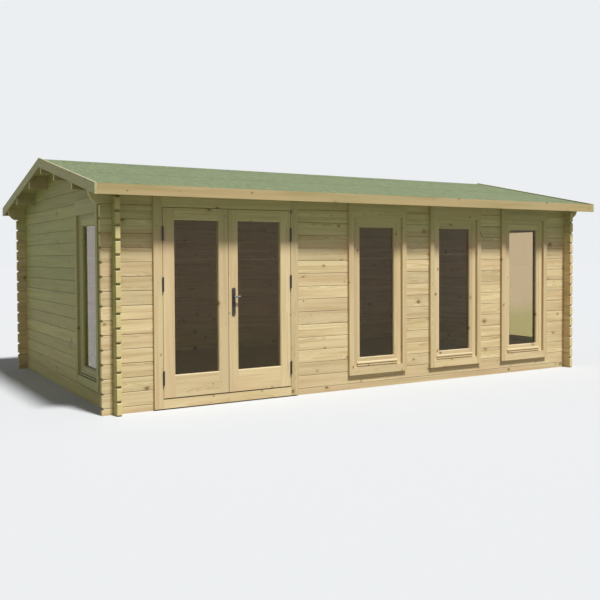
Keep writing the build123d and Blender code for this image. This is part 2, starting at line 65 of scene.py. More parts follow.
camera = linked("camera", bpy.data.cameras.new("camera"))
camera.location = eye
camera.rotation_mode = "QUATERNION"
aim = Matrix.Rotation(-turn_right, 3, "Z") @ Matrix.Rotation(pi / 2 - look_down, 3, "X")
camera.rotation_quaternion = (aim @ Matrix.Rotation(lean, 3, "Z")).to_quaternion()
camera.data.lens = lens
camera.data.sensor_width = film_width
camera.data.shift_y = framing_shift
camera.data.clip_end = farthest_seen
bpy.context.scene.camera = camera


# Plain soft light from high in front of the cabin, a pale floor and a pale background. The
# floor is a wide disc that throws less light back at the cabin than it shows the camera.
class Bench:
    """Adds nodes to one tree and gives their inputs values or links."""

    def __init__(self, tree):
        self.tree = tree

    def feed(self, node, inputs):
        """Set a node's inputs, by name or number, to values or to the sockets of other nodes."""
        for key, value in dict(inputs).items():
            if isinstance(value, bpy.types.NodeSocket):
                self.tree.links.new(value, node.inputs[key])
            else:
                node.inputs[key].default_value = value

    def add(self, kind, inputs=(), **settings):
        """A new node with its settings and inputs."""
        made = self.tree.nodes.new(kind)
        for key, value in settings.items():
            setattr(made, key, value)
        self.feed(made, inputs)
        return made

    def calc(self, operation, *values, clamp=False):
        """A number worked out from numbers or sockets."""
        return self.add("ShaderNodeMath", enumerate(values), operation=operation,
                        use_clamp=clamp).outputs[0]

    def vector(self, operation, *values):
        """A vector worked out from vectors or sockets."""
        return self.add("ShaderNodeVectorMath", enumerate(values), operation=operation).outputs[0]

    def axis(self, vector, number):
        """One of the three numbers of a vector."""
        return self.add("ShaderNodeSeparateXYZ", {0: vector}).outputs[number]

    def ramp(self, value, low, high, start=0.0, end=1.0):
        """A smooth change from start to end as value goes from low to high."""
        return self.add("ShaderNodeMapRange", {0: value, 1: low, 2: high, 3: start, 4: end},
                        interpolation_type="SMOOTHSTEP").outputs[0]

    def blend(self, share, first, second, way="MIX"):
        """One colour over another."""
        return self.add("ShaderNodeMix", {0: share, 6: first, 7: second}, data_type="RGBA",
                        blend_type=way).outputs[2]

    def clouds(self, place, rate, detail, roughness=0.5, output=0):
        """Soft noise, at one rate in every direction or at a rate of its own along each axis."""
        if isinstance(rate, tuple):
            place, rate = self.vector("MULTIPLY", place, rate), 1.0
        return self.add("ShaderNodeTexNoise", {"Vector": place, "Scale": rate, "Detail": detail,
                                               "Roughness": roughness}).outputs[output]

    def place(self):
        """Where a point of the object lies, in metres."""
        return self.add("ShaderNodeTexCoord").outputs["Object"]


def new_material(name):
    """A material, with its tree's bench and its shader."""
    made = bpy.data.materials.new(name)
    made.use_nodes = True
    return made, Bench(made.node_tree), made.node_tree.nodes["Principled BSDF"]


def seen_plainly(bench):
    """1 for what the camera sees, in a mirror and through glass too, and 0 for bounced light."""
    rays = bench.add("ShaderNodeLightPath").outputs
    seen = bench.calc("MAXIMUM", rays["Is Camera Ray"], rays["Is Glossy Ray"])
    return bench.calc("MAXIMUM", seen, rays["Is Transmission Ray"])


def mesh_object(name, mesh, material=None):
    """An object made from a mesh, with its material where it has one."""
    data = bpy.data.meshes.new(name)
    mesh.to_mesh(data)
    mesh.free()
    if material:
        data.materials.append(material)
    return linked(name, data)


background = (0.84, 0.86, 0.88, 1)
fill_colour = (0.96, 0.98, 1, 1)
fill_light = 0.24
key_light = 4.8
key_softness = radians(8)
key_from = Vector((0.10, -0.428, 0.898))
floor_radius = 120
floor_sides = 96
floor_bounce = (0.20, 0.20, 0.17, 1)
floor_shown = (0.53, 0.54, 0.55, 1)

world = bpy.data.worlds.new("studio")
world.use_nodes = True
bpy.context.scene.world = world
studio = Bench(world.node_tree)
fill = studio.add("ShaderNodeBackground", {"Color": fill_colour, "Strength": fill_light})
shown = studio.add("ShaderNodeBackground", {"Color": background, "Strength": 1})
choice = studio.add("ShaderNodeMixShader", {
    0: seen_plainly(studio), 1: fill.outputs[0], 2: shown.outputs[0]})
studio.feed(world.node_tree.nodes["World Output"], {0: choice.outputs[0]})

key = linked("key_light", bpy.data.lights.new("key_light", "SUN"))
key.data.energy = key_light
key.data.angle = key_softness
key.rotation_mode = "QUATERNION"
key.rotation_quaternion = key_from.to_track_quat("Z", "Y")

floor_finish, bench, shader = new_material("floor")
bench.feed(shader, {"Base Color": bench.blend(seen_plainly(bench), floor_bounce, floor_shown),
                    "Roughness": 0.9, "Specular IOR Level": 0})
disc = bmesh.new()
bmesh.ops.create_circle(disc, cap_ends=True, radius=floor_radius, segments=floor_sides)
floor = mesh_object("floor", disc, floor_finish)

# Wall logs: planed softwood logs 45 mm thick and 132 mm high, halved over each other at the
# corners, with bevelled joints and bevelled ends. They are pressure treated, which leaves a
# faint green that the sun bleaches to pale yellow. The greener band under the eaves and the
# greener left gable are partly that treatment green and partly painted shade, and the left
# gable's lower courses are paler as painted light bounced off the ground.
arris = 0.0012
same_point = 0.00001
flat_turn = radians(1)
edge_turn = radians(20)


def welded(node):
    """A copy of a CAD node with its triangles joined into whole faces."""
    mesh = bmesh.new()
    mesh.from_mesh(nodes[node].data)
    bmesh.ops.remove_doubles(mesh, verts=mesh.verts, dist=same_point)
    bmesh.ops.dissolve_limit(mesh, angle_limit=flat_turn, verts=mesh.verts, edges=mesh.edges)
    return mesh


def boards_in(mesh):
    """The separate boards of a mesh, each as a mesh of its own."""
    mesh.verts.ensure_lookup_table()
    waiting = set(range(len(mesh.verts)))
    boards = []
    while waiting:
        found = {waiting.pop()}
        to_visit = list(found)
        while to_visit:
            vert = mesh.verts[to_visit.pop()]
            for edge in vert.link_edges:
                other = edge.other_vert(vert).index
                if other in waiting:
                    waiting.discard(other)
                    found.add(other)
                    to_visit.append(other)
        board = bmesh.new()
        copies = {i: board.verts.new(mesh.verts[i].co) for i in sorted(found)}
        faces = {face for i in found for face in mesh.verts[i].link_faces}
        for face in sorted(faces, key=lambda f: f.index):
            board.faces.new([copies[v.index] for v in face.verts])
        boards.append(board)
    mesh.free()
    return boards


def grain_axes(board):
    """Directions along a board, across its face and through it, from its longest edges."""
    spans = sorted((e.verts[1].co - e.verts[0].co for e in board.edges),
                   key=lambda span: (-round(span.length, 4), -round(abs(span.z), 4)))
    along = spans[0].normalized()
    across = max((span - span.dot(along) * along for span in spans), key=lambda span: span.length)
    across.normalize()
    return along, across, along.cross(across)


def break_edges(solid, width, turn=edge_turn):
    """Take the sharp arrises off a solid, where its faces meet at more than an angle."""
    sharp = [e for e in solid.edges if e.is_manifold and e.calc_face_angle() > turn]
    bmesh.ops.bevel(solid, geom=sharp, offset=width, segments=1, affect="EDGES",
                    clamp_overlap=True)


def lay_grain(board, axes, own_number=0):
    """Give a board's points their place in it along the grain, and the board its own number."""
    along, across, through = axes
    grain = board.verts.layers.float_vector.new("grain")
    number = board.verts.layers.float.new("board")
    half_length = board.verts.layers.float.new("half_length")
    places = [Vector((v.co.dot(along), v.co.dot(across), v.co.dot(through))) for v in board.verts]
    low = Vector(min(p[i] for p in places) for i in range(3))
    high = Vector(max(p[i] for p in places) for i in range(3))
    middle = (low + high) / 2
    for vert, place in zip(board.verts, places):
        vert[grain] = place - middle
        vert[number] = own_number
        vert[half_length] = high.x - middle.x


def timber(node, material, body="cabin", edge=arris):
    """The boards of a CAD node with broken edges and a grain along each, in the node's place."""
    numbers = Random(node)
    joined = bmesh.new()
    for board in boards_in(welded(node)):
        axes = grain_axes(board)
        break_edges(board, edge)
        lay_grain(board, axes, numbers.random())
        part = bpy.data.meshes.new("board")
        board.to_mesh(part)
        board.free()
        joined.from_mesh(part)
        bpy.data.meshes.remove(part)
    made = mesh_object(node + "_timber", joined, material)
    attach(made, body)
    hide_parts(node)


board_spread = 731.3
board_shift = (40, 30, 20)
tone_spread, tone_low = 0.22, 0.89
knot_rates = (2.3, 6.5)
knot_stretch = 1.25
knot_ragged = 0.004
knot_swelling = 1.6
pith_aside = (0.14, -0.095)
pith_behind = (0.10, 0.005)
pith_wander = 0.05
late_power = 2.6
ring_dark, streak_dark, fibre_dark, halo_dark = 0.60, 0.46, 0.18, 0.34
patch_green = 0.12
height_shade_green = 0.6
end_skin = 0.0015
checks_per_radian = 3.2
grain_relief = 0.0004
warm_wood = (0.62, 0.42, 0.24, 1)
knot_rim = (0.10, 0.05, 0.025, 1)
upper_face_shade = (0.36, 0.32, 0.23, 1)
end_grain = (0.76, 0.61, 0.30, 1)
check_dark = (0.08, 0.05, 0.025, 1)


def knots_through(bench, moved, share, size):
    """Core, rim and halo of a board's knots, which lie in cells stretched along it."""
    cells = bench.vector("MULTIPLY", moved, (*knot_rates, 0))
    spots = bench.add("ShaderNodeTexVoronoi", {"Vector": cells, "Scale": 1.0, "Randomness": 0.9})
    gap = bench.vector("SUBTRACT", cells, spots.outputs["Position"])
    gap = bench.vector("MULTIPLY", gap, (1 / knot_rates[0] / knot_stretch, 1 / knot_rates[1], 0))
    away = bench.add("ShaderNodeVectorMath", {0: gap}, operation="LENGTH").outputs["Value"]
    away = bench.calc("MULTIPLY_ADD", bench.clouds(moved, 90.0, 1.0), knot_ragged, away)
    away = bench.calc("SUBTRACT", away, knot_ragged / 2)
    dice = bench.add("ShaderNodeSeparateColor", {0: spots.outputs["Color"]}).outputs
    wanted = bench.calc("LESS_THAN", dice[0], share)
    radius = bench.calc("MULTIPLY_ADD", bench.calc("POWER", dice[1], 1.5), size, 0.3 * size)
    radius = bench.calc("ADD", bench.calc("MULTIPLY", radius, wanted), 0.0001)
    radii_away = bench.calc("DIVIDE", away, radius)
    core = bench.calc("MULTIPLY", bench.ramp(radii_away, 0.8, 1.0, 1, 0), wanted)
    halo = bench.calc("MULTIPLY", bench.ramp(radii_away, 0.9, 3.0, 1, 0), wanted)
    rim = bench.calc("MULTIPLY", bench.ramp(radii_away, 0.5, 0.9), core)
    return core, rim, halo


def rings_round_pith(bench, grain, moved, dice, width, halo):
    """Late wood of the rings round a wandering pith behind the face, and the way to the pith."""
    wander = bench.clouds(moved, (1.1, 3, 3), 2.0, output="Color")
    drift = bench.vector("MULTIPLY_ADD", wander, (0, pith_wander, pith_wander), grain)
    place = bench.add("ShaderNodeSeparateXYZ", {0: drift}).outputs
    sideways = bench.calc("ADD", place[1], bench.calc("MULTIPLY_ADD", dice[0], *pith_aside))
    deep = bench.calc("ADD", place[2], bench.calc("MULTIPLY_ADD", dice[1], *pith_behind))
    reach = bench.calc("SQRT", bench.calc("ADD", bench.calc("MULTIPLY", sideways, sideways),
                                          bench.calc("MULTIPLY", deep, deep)))
    own_width = bench.calc("MULTIPLY_ADD", dice[2], 0.9 * width, 0.6 * width)
    rings = bench.calc("MULTIPLY_ADD", halo, knot_swelling,
                       bench.calc("DIVIDE", reach, own_width))
    phase = bench.calc("FRACT", rings)
    year = bench.calc("MULTIPLY", bench.calc("POWER", phase, late_power),
                      bench.ramp(phase, 0.9, 1.0, 1, 0))
    return year, sideways, deep


def softwood(name, pale, late, knot, ring_width=0.0045, shade_green_heights=None, shelter_and_shade_green=0.0, knots=0.34,
             knot_size=0.017, contrast=1.0, green=(0.72, 0.98, 0.72, 1)):
    """Planed softwood cut from a solid trunk: rings, fibres, knots, checks, treatment green,
    painted shade.
    """
    made, bench, shader = new_material(name)
    grain, number, half_length = (
        bench.add("ShaderNodeAttribute", attribute_name=label).outputs[output]
        for label, output in (("grain", "Vector"), ("board", "Fac"), ("half_length", "Fac")))
    chance = bench.add("ShaderNodeTexWhiteNoise", {
        "W": bench.calc("MULTIPLY", number, board_spread)}, noise_dimensions="1D").outputs["Color"]
    dice = bench.add("ShaderNodeSeparateColor", {0: chance}).outputs
    moved = bench.vector("MULTIPLY_ADD", chance, board_shift, grain)
    core, rim, halo = knots_through(bench, moved, knots, knot_size)
    year, sideways, deep = rings_round_pith(bench, grain, moved, dice, ring_width, halo)

    # Fibres, broad streaks and warmer stretches along the grain
    fibre = bench.clouds(moved, (9, 420, 420), 2.0)
    streak = bench.clouds(moved, (0.9, 24, 24), 3.0)
    warm = bench.clouds(moved, (1.3, 5, 5), 1.0)
    dark = bench.calc("MULTIPLY", year, ring_dark * contrast)
    dark = bench.calc("MULTIPLY_ADD", bench.ramp(streak, 0.40, 0.70), streak_dark * contrast, dark)
    dark = bench.calc("MULTIPLY_ADD", bench.ramp(fibre, 0.45, 0.8), fibre_dark * contrast, dark)
    dark = bench.calc("MULTIPLY_ADD", halo, halo_dark, dark, clamp=True)
    wood = bench.blend(dark, pale, late)
    tone = bench.calc("MULTIPLY_ADD", dice[2], tone_spread, tone_low)
    tone = bench.add("ShaderNodeCombineColor", {0: tone, 1: tone, 2: tone}).outputs[0]
    wood = bench.blend(1.0, wood, tone, "MULTIPLY")
    blush = bench.calc("MULTIPLY", bench.ramp(dice[0], 0.45, 1.0),
                       bench.ramp(warm, 0.35, 0.65, 0, 0.5))
    wood = bench.blend(blush, wood, warm_wood)

    # Treatment green: random patches, more green by height and an even share on some copies. It is
    # partly treatment green kept from the sun and partly painted shade; where it fades towards the
    # ground on the left gable, the paler wood is painted light bounced off the ground.
    treatment_and_shade_green = bench.ramp(bench.clouds(moved, (1.4, 7, 7), 2.0), 0.45, 0.75, 0.0, patch_green)
    if shade_green_heights:
        above_ground = bench.axis(bench.place(), 2)
        treatment_and_shade_green = bench.calc("ADD", treatment_and_shade_green, bench.ramp(above_ground, *shade_green_heights, 0, height_shade_green))
    treatment_and_shade_green = bench.calc("ADD", treatment_and_shade_green, shelter_and_shade_green, clamp=True)
    wood = bench.blend(treatment_and_shade_green, wood, bench.blend(1.0, wood, green, "MULTIPLY"))

    wood = bench.blend(bench.calc("MULTIPLY", core, 0.85), wood, knot)
    wood = bench.blend(bench.calc("MULTIPLY", rim, 0.5), wood, knot_rim)

    # Upper faces get painted shade, a darker grey; sawn ends split along the rays
    upward = bench.axis(bench.add("ShaderNodeNewGeometry").outputs["Normal"], 2)
    wood = bench.blend(bench.ramp(upward, 0.3, 0.9, 0, 0.6), wood, upper_face_shade)
    from_end = bench.calc("SUBTRACT", half_length, bench.calc("ABSOLUTE", bench.axis(grain, 0)))
    end = bench.calc("LESS_THAN", from_end, end_skin)
    wood = bench.blend(bench.calc("MULTIPLY", end, 0.7), wood, end_grain)
    ray = bench.calc("MULTIPLY_ADD", bench.calc("ARCTAN2", sideways, deep), checks_per_radian,
                     bench.calc("MULTIPLY", dice[1], 50.0))
    check = bench.add("ShaderNodeTexVoronoi", {"W": ray, "Scale": 1.0}, voronoi_dimensions="1D",
                      feature="DISTANCE_TO_EDGE").outputs["Distance"]
    check = bench.calc("MULTIPLY", bench.ramp(check, 0.004, 0.03, 1, 0), end)
    check = bench.calc("MULTIPLY", check, bench.ramp(warm, 0.42, 0.52))
    wood = bench.blend(bench.calc("MULTIPLY", check, 0.8), wood, check_dark)

    # Late wood and knots are smoother, and stand a little proud of the early wood
    dull = bench.calc("MULTIPLY_ADD", dark, -0.12, 0.66)
    height = bench.calc("MULTIPLY_ADD", fibre, 0.5, year)
    height = bench.calc("MULTIPLY_ADD", core, 0.8, height)
    height = bench.calc("MULTIPLY_ADD", check, -3.0, height)
    relief = bench.add("ShaderNodeBump", {"Height": height, "Strength": 0.5,
                                          "Distance": grain_relief})
    bench.feed(shader, {"Base Color": wood, "Specular IOR Level": 0.35,
                        "Roughness": bench.calc("MULTIPLY_ADD", core, -0.15, dull),
                        "Normal": relief.outputs[0]})
    return made


front_log_wood = softwood("front_log_softwood", pale=(0.82, 0.67, 0.39, 1),
                          late=(0.47, 0.32, 0.14, 1), knot=(0.22, 0.12, 0.05, 1),
                          shade_green_heights=(1.50, 1.78), knots=0.32, knot_size=0.019, contrast=1.1)
# The left gable's copy is greener and darker: painted shade, fading near the ground as painted
# light bounced off it.
side_log_wood = softwood("side_log_softwood", pale=(0.78, 0.70, 0.31, 1),
                         late=(0.46, 0.38, 0.14, 1), knot=(0.15, 0.085, 0.03, 1),
                         shade_green_heights=(0.1, 1.3), shelter_and_shade_green=0.15, knots=0.30, knot_size=0.02,
                         green=(0.52, 0.63, 0.47, 1))
for node in sorted(nodes):
    if "logs" in node:
        timber(node, side_log_wood if node.startswith("left") else front_log_wood)

# Floor: bearers on the ground, and tongued softwood boards 19 mm thick nailed across them. The
# boards run the length of the room, and the first is notched round the door's lining.
floor_rows = 40
row_joint = 0.0004
row_bevel = 0.0015
row_seed = 5
near_the_end = 0.01
first_board_number = 0.31
flat_axes = (Vector((1, 0, 0)), Vector((0, 1, 0)), Vector((0, 0, 1)))
floor_wood = softwood("floor_softwood", pale=(0.66, 0.54, 0.32, 1), late=(0.42, 0.30, 0.14, 1),
                      knot=(0.17, 0.085, 0.03, 1), shelter_and_shade_green=0.15)


def corners(node):
    """Lowest and highest corner of a CAD node."""
    return [Vector(corner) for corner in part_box(node)]


def node_tree(name, inputs):
    """The bench of a Geometry Nodes tree with named inputs, its inputs and its output."""
    tree = bpy.data.node_groups.new(name, "GeometryNodeTree")
    for label, kind in inputs:
        tree.interface.new_socket(label, in_out="INPUT", socket_type="NodeSocket" + kind)
    tree.interface.new_socket("Result", in_out="OUTPUT", socket_type="NodeSocketGeometry")
    made = Bench(tree)
    return made, made.add("NodeGroupInput").outputs, made.add("NodeGroupOutput").inputs[0]


def finished(bench, instances, finish, result):
    """End a tree with real geometry of one material."""
    whole = bench.add("GeometryNodeRealizeInstances", {0: instances}).outputs[0]
    whole = bench.add("GeometryNodeSetMaterial", {0: whole, 2: finish}).outputs[0]
    bench.tree.links.new(whole, result)


def grown(name, tree, start, values, body):
    """What a Geometry Nodes tree makes of a start mesh and its inputs, as a plain mesh."""
    holder = linked(name + "_start", start)
    modifier = holder.modifiers.new("tree", "NODES")
    modifier.node_group = tree
    for socket in tree.interface.items_tree:
        if socket.in_out == "INPUT" and socket.name in values:
            modifier[socket.identifier] = values[socket.name]
    evaluated = holder.evaluated_get(bpy.context.evaluated_depsgraph_get())
    mesh = bpy.data.meshes.new_from_object(evaluated)
    bpy.data.objects.remove(holder)
    made = linked(name, mesh)
    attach(made, body)
    return made


bench, given, result = node_tree("board_rows", (
    ("Board", "Object"), ("Count", "Int"), ("Step", "Vector"), ("Seed", "Int"),
    ("Finish", "Material")))
row = bench.add("GeometryNodeMeshLine", {"Count": given["Count"], "Offset": given["Step"]},
                mode="OFFSET")
board = bench.add("GeometryNodeObjectInfo", {"Object": given["Board"]})
rows = bench.add("GeometryNodeInstanceOnPoints", {
    "Points": row.outputs[0], "Instance": board.outputs["Geometry"]}).outputs[0]
number = bench.add("FunctionNodeRandomValue", {"Seed": given["Seed"]}, data_type="FLOAT")
rows = bench.add("GeometryNodeStoreNamedAttribute", {
    "Geometry": rows, "Name": "board", "Value": number.outputs[1]}, data_type="FLOAT",
    domain="INSTANCE").outputs[0]
finished(bench, rows, given["Finish"], result)
board_rows = bench.tree


def prism(outline, direction, low, high):
    """A closed mesh from an outline of points and the run it is pushed along."""
    solid = bmesh.new()
    ends = [[solid.verts.new(Vector(point) + direction * step) for point in outline]
            for step in (low, high)]
    count = len(outline)
    solid.faces.new(ends[0])
    solid.faces.new(reversed(ends[1]))
    for i in range(count):
        j = (i + 1) % count
        solid.faces.new([ends[0][j], ends[0][i], ends[1][i], ends[1][j]])
    bmesh.ops.recalc_face_normals(solid, faces=solid.faces)
    return solid


def row_source(name, board, axes):
    """The board that a row repeats, with its grain laid. The row gives each copy its number."""
    lay_grain(board, axes)
    board.verts.layers.float.remove(board.verts.layers.float["board"])
    return mesh_object(name, board)


timber("floor_bearers", floor_wood)
floor_low, floor_high = corners("floor_boards")
row_width = (floor_high.y - floor_low.y) / floor_rows
row_near = floor_low.y + row_joint
row_far = floor_low.y + row_width - row_joint
section = [(0, row_near, floor_low.z), (0, row_far, floor_low.z),
           (0, row_far, floor_high.z - row_bevel), (0, row_far - row_bevel, floor_high.z),
           (0, row_near + row_bevel, floor_high.z), (0, row_near, floor_high.z - row_bevel)]
source = row_source("floor_row", prism(section, flat_axes[0], floor_low.x, floor_high.x), flat_axes)
source.data.transform(Matrix.Translation((0, row_width, 0)))
laid = grown("floor_boards_laid", board_rows, bpy.data.meshes.new("start"), {
    "Board": source, "Count": floor_rows - 1, "Step": (0, row_width, 0), "Seed": row_seed,
    "Finish": floor_wood}, "cabin")
bpy.data.objects.remove(source)
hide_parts("floor_boards")

notch = sorted({(round(v.co.x, 4), round(v.co.y, 4)) for v in nodes["floor_boards"].data.vertices
                if abs(v.co.x) < floor_high.x - near_the_end})
notch_left, notch_right, notch_back = notch[0][0], notch[-1][0], notch[1][1]
outline = [(floor_low.x, floor_low.y), (notch_left, floor_low.y), (notch_left, notch_back),
           (notch_right, notch_back), (notch_right, floor_low.y), (floor_high.x, floor_low.y),
           (floor_high.x, row_far), (floor_low.x, row_far)]
first_row = prism([(x, y, floor_low.z) for x, y in outline], flat_axes[2], 0,
                  floor_high.z - floor_low.z)
lay_grain(first_row, flat_axes, first_board_number)
first_row = mesh_object("floor_board_at_the_door", first_row, floor_wood)
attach(first_row, "cabin")

# Roof timbers: a ridge purlin and four purlins let into the gables, and tongued boards 16 mm
# thick nailed over them from ridge to eaves, with a V along each joint underneath.
roof_rows = 71
roof_groove = 0.003
roof_seed = 11
# The roof boards' even green share is partly treatment green and partly painted shade.
roof_wood = softwood("roof_softwood", pale=(0.62, 0.54, 0.29, 1), late=(0.42, 0.32, 0.14, 1),
                     knot=(0.16, 0.085, 0.03, 1), shelter_and_shade_green=0.4)
for node in ("ridge_purlin", "purlins"):
    timber(node, roof_wood)


def front_profile(node):
    """Corners of a roof sheet's front slope, as distance behind the ridge and height."""
    return sorted({(round(v.co.y, 5), round(v.co.z, 5)) for v in nodes[node].data.vertices
                   if v.co.y < 0})


sheet_low, sheet_high = corners("roof_boards")
eaves_under, _, ridge_under, ridge_over = front_profile("roof_boards")
slat_width = (sheet_high.x - sheet_low.x) / roof_rows
thick = ridge_over[1] - ridge_under[1]
slat_far = slat_width - row_joint
profile = [(row_joint, thick), (slat_far, thick), (slat_far, roof_groove),
           (slat_far - roof_groove, 0), (row_joint + roof_groove, 0), (row_joint, roof_groove)]
for side in (-1, 1):
    down = Vector((0, side * (ridge_under[0] - eaves_under[0]), eaves_under[1] - ridge_under[1]))
    down.normalize()
    upward = Vector((1, 0, 0)).cross(down)
    upward *= 1 if upward.z > 0 else -1
    start = Vector((sheet_low.x, -side * ridge_under[0], ridge_under[1]))
    length = (eaves_under[1] - ridge_under[1]) / down.z
    slat = prism([start + Vector((x, 0, z)) for x, z in profile], down, 0, length)
    source = row_source("roof_slat", slat, (down, Vector((1, 0, 0)), upward))
    laid = grown("roof_boards_front" if side < 0 else "roof_boards_rear", board_rows,
                 bpy.data.meshes.new("start"), {
                     "Board": source, "Count": roof_rows, "Step": (slat_width, 0, 0),
                     "Seed": roof_seed + side, "Finish": roof_wood}, "cabin")
    bpy.data.objects.remove(source)
    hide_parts("roof_boards")

# Mineral felt: strips of bitumen felt a metre wide with green mineral granules, laid along the
# roof from the eaves up. Each laps over the strip below, a cap covers the ridge, and galvanised
# clout nails hold the laps and the edges.
felt_finish, bench, shader = new_material("mineral_felt")
place = bench.place()
grit = bench.add("ShaderNodeTexVoronoi", {"Vector": place, "Scale": 420.0, "Randomness": 1.0})
grit_tone = bench.add("ShaderNodeSeparateColor", {0: grit.outputs["Color"]}).outputs[0]
clump = bench.clouds(place, (48, 8, 8), 3.0, 0.7)
washed = bench.add("ShaderNodeTexVoronoi", {"Vector": bench.vector("MULTIPLY", place, (72, 10, 10)),
                                            "Scale": 1.0, "Randomness": 1.0})
washed = bench.add("ShaderNodeSeparateColor", {0: washed.outputs["Color"]}).outputs[1]
weather = bench.clouds(place, (1.6, 0.4, 1), 3.0)
felt_colour = bench.blend(grit_tone, (0.085, 0.115, 0.058, 1), (0.22, 0.25, 0.14, 1))
for share, colour in ((bench.ramp(clump, 0.42, 0.60, 0, 0.45), (0.235, 0.275, 0.145, 1)),
                      (bench.ramp(clump, 0.34, 0.46, 0.45, 0), (0.075, 0.10, 0.052, 1)),
                      (bench.ramp(washed, 0.2, 1.0, 0, 0.42), (0.085, 0.11, 0.06, 1)),
                      (bench.ramp(weather, 0.4, 0.8, 0, 0.3), (0.12, 0.145, 0.08, 1))):
    felt_colour = bench.blend(share, felt_colour, colour)
relief = bench.add("ShaderNodeBump", {"Height": grit.outputs["Distance"], "Strength": 0.6,
                                      "Distance": 0.0012})
bench.feed(shader, {"Base Color": felt_colour, "Roughness": 0.92, "Specular IOR Level": 0.2,
                    "Normal": relief.outputs[0]})

felt_low, felt_high = corners("roof_felt")
felt_eaves, _, felt_top = front_profile("roof_felt")[:3]
felt_edge = -felt_eaves[0]
felt_fall = (felt_top[1] - felt_eaves[1]) / (felt_top[0] + felt_edge)
felt_ply = 0.0014
felt_clear = 0.0002
felt_waves = 0.0003
felt_lap = 0.075
felt_lap_fade = 0.03
felt_width = 1.0
felt_ridge_gap = 0.05
felt_ridge_half = 0.26
felt_stations = 90
lap_rise = felt_ply + 0.0001


def felt_height(y):
    """Underside of the felt at a distance from the ridge."""
    return felt_top[1] - abs(y) * felt_fall + felt_clear


def felt_strip(felt, levels):
    """Add a strip along the roof, from its distances from the ridge and rises off the boards."""
    rings = []
    for i in range(felt_stations + 1):
        x = felt_low.x + (felt_high.x - felt_low.x) * i / felt_stations
        under = [(x, y, felt_height(y) + rise
                  + felt_waves * (1 + noise.noise((x * 3.1, y * 2.3, 4)))) for y, rise in levels]
        over = [(x, y, z + felt_ply) for x, y, z in reversed(under)]
        rings.append([felt.verts.new(point) for point in under + over])
    count = len(rings[0])
    for left, right in zip(rings, rings[1:]):
        for k in range(count):
            m = (k + 1) % count
            felt.faces.new((left[k], right[k], right[m], left[m]))
    felt.faces.new(rings[0])
    felt.faces.new(reversed(rings[-1]))


felt = bmesh.new()
felt_laps = []
for side in (-1, 1):
    outer, rise = felt_edge, 0
    while outer > felt_ridge_half:
        inner = max(outer - felt_width, felt_ridge_gap)
        felt_strip(felt, [(side * outer, rise), (side * (outer - felt_lap), rise),
                          (side * (outer - felt_lap - felt_lap_fade), 0),
                          (side * (outer + inner) / 2, 0), (side * inner, 0)])
        felt_laps.append((side, outer, rise + felt_ply))
        outer, rise = inner + felt_lap, lap_rise
    felt_laps.append((side, felt_ridge_half, lap_rise + felt_ply))
felt_strip(felt, [(share * felt_ridge_half, lap_rise) for share in (-1, -0.5, -0.04, 0.04, 0.5, 1)])
bmesh.ops.recalc_face_normals(felt, faces=felt.faces)
felt = mesh_object("felt_strips", felt, felt_finish)
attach(felt, "cabin")
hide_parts("roof_felt")

# Nails and screws: galvanised clout nails with wide flat heads hold the felt, and slimmer nails
# and cross-headed screws of the same metal hold the trim and the handle plates. One tree sets a
# head on every place, square to the face there and turned at random.
zinc_finish, bench, shader = new_material("zinc_plated_steel")
stain = bench.clouds(bench.place(), 600.0, 2.0)
bench.feed(shader, {"Base Color": bench.blend(bench.ramp(stain, 0.4, 0.7), (0.50, 0.49, 0.45, 1),
                                              (0.30, 0.29, 0.26, 1)),
                    "Roughness": bench.ramp(stain, 0.3, 0.7, 0.35, 0.6), "Metallic": 1.0})

bench, given, result = node_tree("fixings", (
    ("Places", "Geometry"), ("Head", "Object"), ("Seed", "Int"), ("Finish", "Material")))
facing = bench.add("GeometryNodeInputNamedAttribute", {0: "facing"},
                   data_type="FLOAT_VECTOR").outputs[0]
square = bench.add("FunctionNodeAlignRotationToVector", {2: facing}, axis="Z").outputs[0]
angle = bench.add("FunctionNodeRandomValue", {3: 2 * pi, "Seed": given["Seed"]},
                  data_type="FLOAT").outputs[1]
twist = bench.add("FunctionNodeAxisAngleToRotation", {0: (0, 0, 1), 1: angle}).outputs[0]
square = bench.add("FunctionNodeRotateRotation", {0: square, 1: twist},
                   rotation_space="LOCAL").outputs[0]
head = bench.add("GeometryNodeObjectInfo", {"Object": given["Head"]}).outputs["Geometry"]
heads = bench.add("GeometryNodeInstanceOnPoints", {
    "Points": given["Places"], "Instance": head, "Rotation": square}).outputs[0]
finished(bench, heads, given["Finish"], result)
fixings_tree = bench.tree


def skinned(name, loops):
    """A closed head from its loops of points, from the foot to the middle of the top."""
    head = bmesh.new()
    loops = [[head.verts.new(point) for point in loop] for loop in loops]
    for lower, upper in zip(loops, loops[1:]):
        for k in range(len(lower)):
            m = (k + 1) % len(lower)
            head.faces.new((lower[k], lower[m], upper[m], upper[k]))
    head.faces.new(loops[-1])
    head.faces.new(reversed(loops[0]))
    return mesh_object(name, head)


def turned_head(name, rings, sides=10):
    """A nail head from its radii and heights."""
    turns = [2 * pi * k / sides for k in range(sides)]
    return skinned(name, [[(radius * cos(turn), radius * sin(turn), level) for turn in turns]
                          for radius, level in rings])


def cross_head(name, radius, arm, half_width, rise, sunk):
    """A countersunk screw head with a tapering cross recess."""
    w = half_width
    cross = [(w, w), (w, arm), (-w, arm), (-w, w), (-arm, w), (-arm, -w), (-w, -w), (-w, -arm),
             (w, -arm), (w, -w), (arm, -w), (arm, w)]
    rim = [Vector(point).normalized() * radius for point in cross]
    return skinned(name, [[(p.x, p.y, 0) for p in rim],
                          [(p.x * 0.9, p.y * 0.9, rise) for p in rim],
                          [(x, y, rise) for x, y in cross],
                          [(x * 0.6, y * 0.6, rise - sunk) for x, y in cross]])


